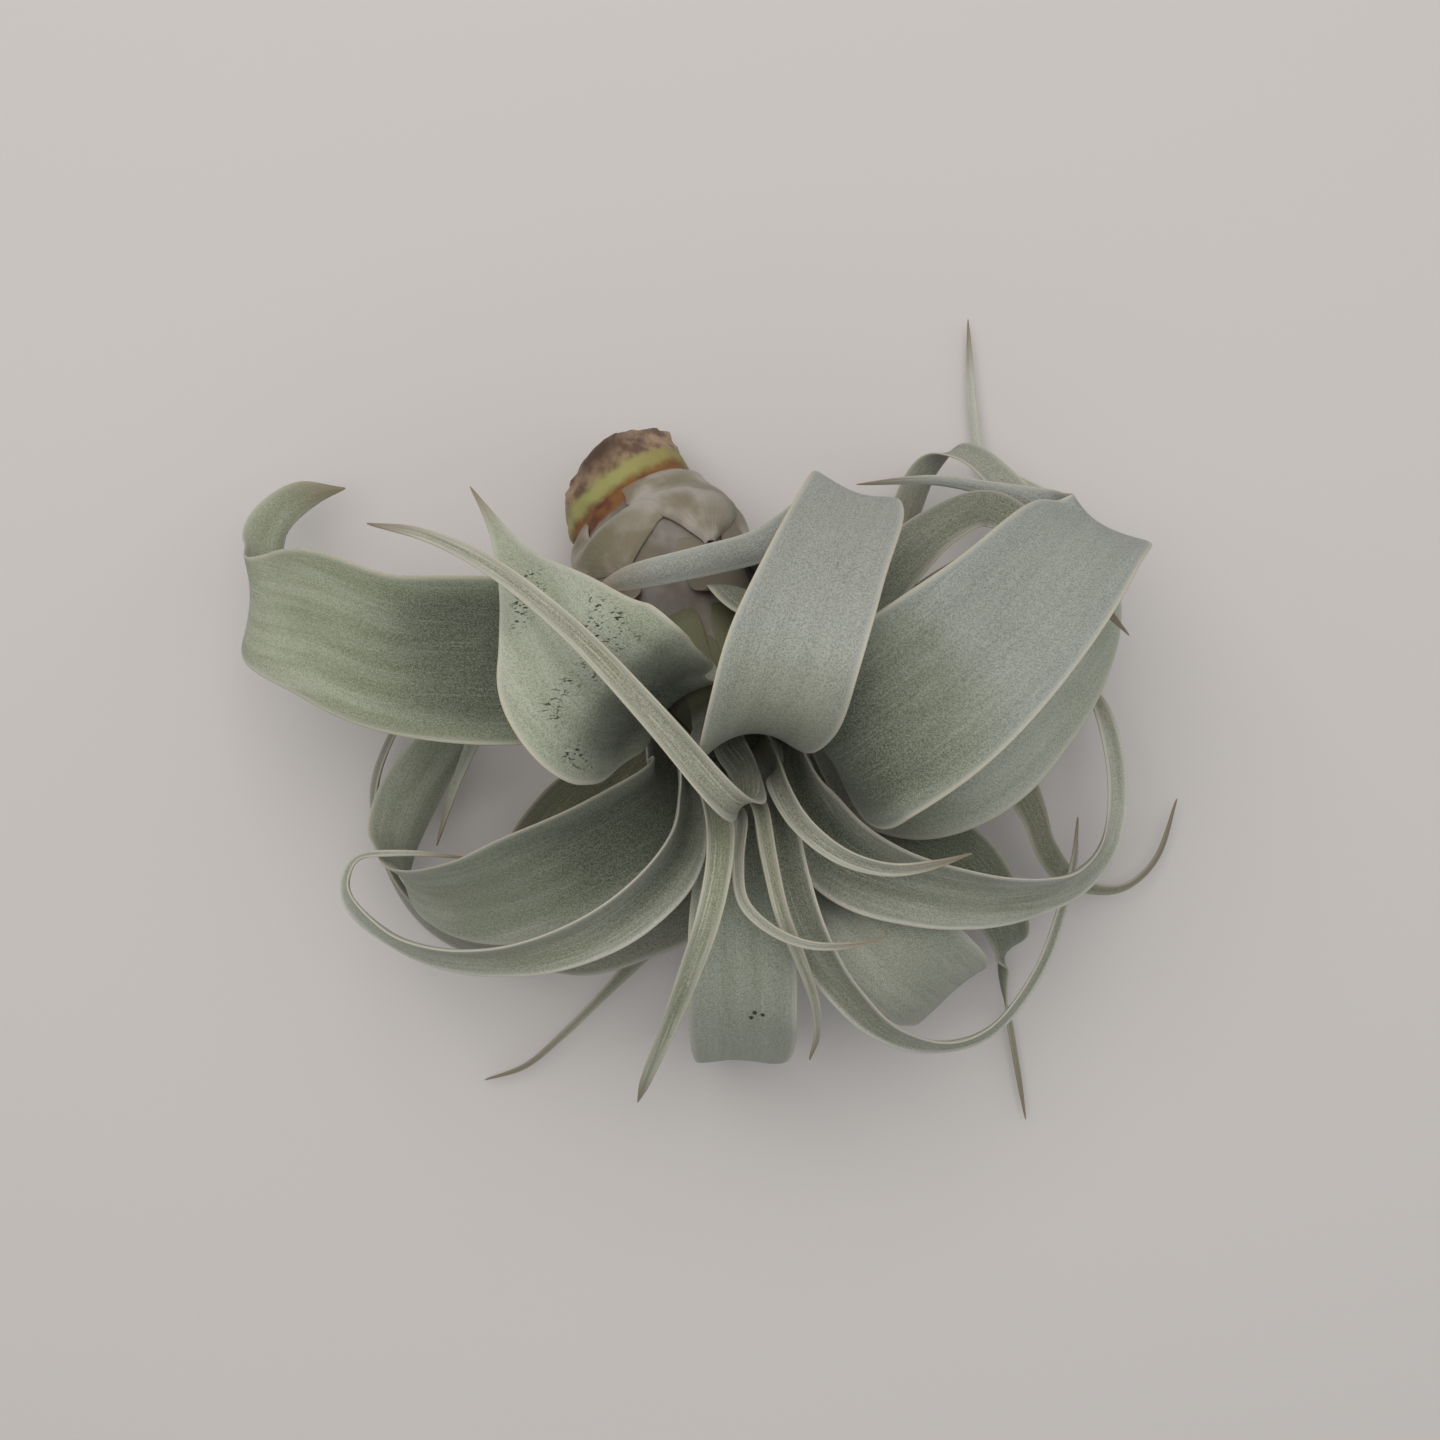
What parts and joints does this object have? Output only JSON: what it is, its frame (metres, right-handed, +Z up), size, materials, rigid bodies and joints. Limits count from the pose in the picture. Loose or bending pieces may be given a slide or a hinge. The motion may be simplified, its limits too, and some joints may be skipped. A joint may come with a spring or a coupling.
{
  "type": "tillandsia xerographica air plant",
  "caption": "Air plant lying on its side: short woody stem, papery bulb and broad silvery channelled leaves that fan out, curl back and end in thread-like tips.",
  "frame": {"origin": "middle of the plant's outline on the surface it lies on", "axes": "+X to the right of the picture along the longest extent, +Y to the top of the picture on the side of the cut stem, +Z up off the surface"},
  "size_m": [0.1445, 0.1275, 0.0756],
  "materials": {
    "leaf": "matt, silvery grey-green, with a fine bloom of scales",
    "papery_scale": "matt, dry and papery, pale grey-white with lavender and brown tints",
    "stem": "matt, woody and brown at the cut end, with a green band round it"
  },
  "bodies": {
    "root": {"stem": "stem", "scale_1": "papery_scale", "scale_2": "papery_scale", "scale_3": "papery_scale", "scale_4": "papery_scale", "scale_5": "papery_scale", "leaf_01": "leaf", "leaf_02": "leaf", "leaf_03": "leaf", "leaf_04": "leaf", "leaf_05": "leaf", "leaf_06": "leaf", "leaf_07": "leaf", "leaf_08": "leaf", "leaf_09": "leaf", "leaf_10": "leaf", "leaf_11": "leaf", "leaf_12": "leaf", "leaf_13": "leaf", "leaf_14": "leaf", "leaf_15": "leaf", "leaf_16": "leaf", "leaf_17": "leaf", "leaf_18": "leaf", "leaf_19": "leaf", "leaf_20": "leaf", "leaf_21": "leaf", "leaf_22": "leaf", "leaf_23": "leaf"}
  },
  "joints": []
}
